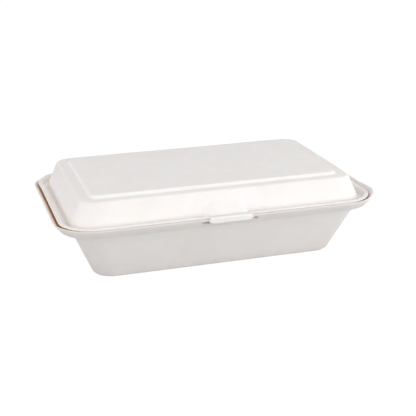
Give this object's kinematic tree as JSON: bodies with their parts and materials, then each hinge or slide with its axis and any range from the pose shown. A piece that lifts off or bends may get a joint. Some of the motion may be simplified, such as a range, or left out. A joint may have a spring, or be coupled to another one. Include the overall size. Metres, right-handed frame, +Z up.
{
  "type": "hinged takeout container",
  "caption": "Moulded pulp clamshell food box: flared tray with an upturned rim band, stepped hinged lid nesting in it, front tuck tab and slot, fold line along the back.",
  "frame": {"origin": "middle of the tray's floor on the surface it stands on, below the middle of the rim outline", "axes": "+X along the length, +Y from the front with the tab towards the hinged back, +Z up"},
  "size_m": [0.248, 0.1646, 0.0644],
  "materials": {
    "pulp": "matte, faintly fibrous moulded plant-fibre pulp"
  },
  "bodies": {
    "tray": {"tray": "pulp"},
    "lid": {"lid": "pulp"}
  },
  "joints": [
    {"name": "lid_hinge", "type": "hinge", "parent": "tray", "child": "lid", "pos_m": [0, 0.08245, 0.04795], "axis": [-1, 0, 0], "range_deg": [0, 180]}
  ]
}
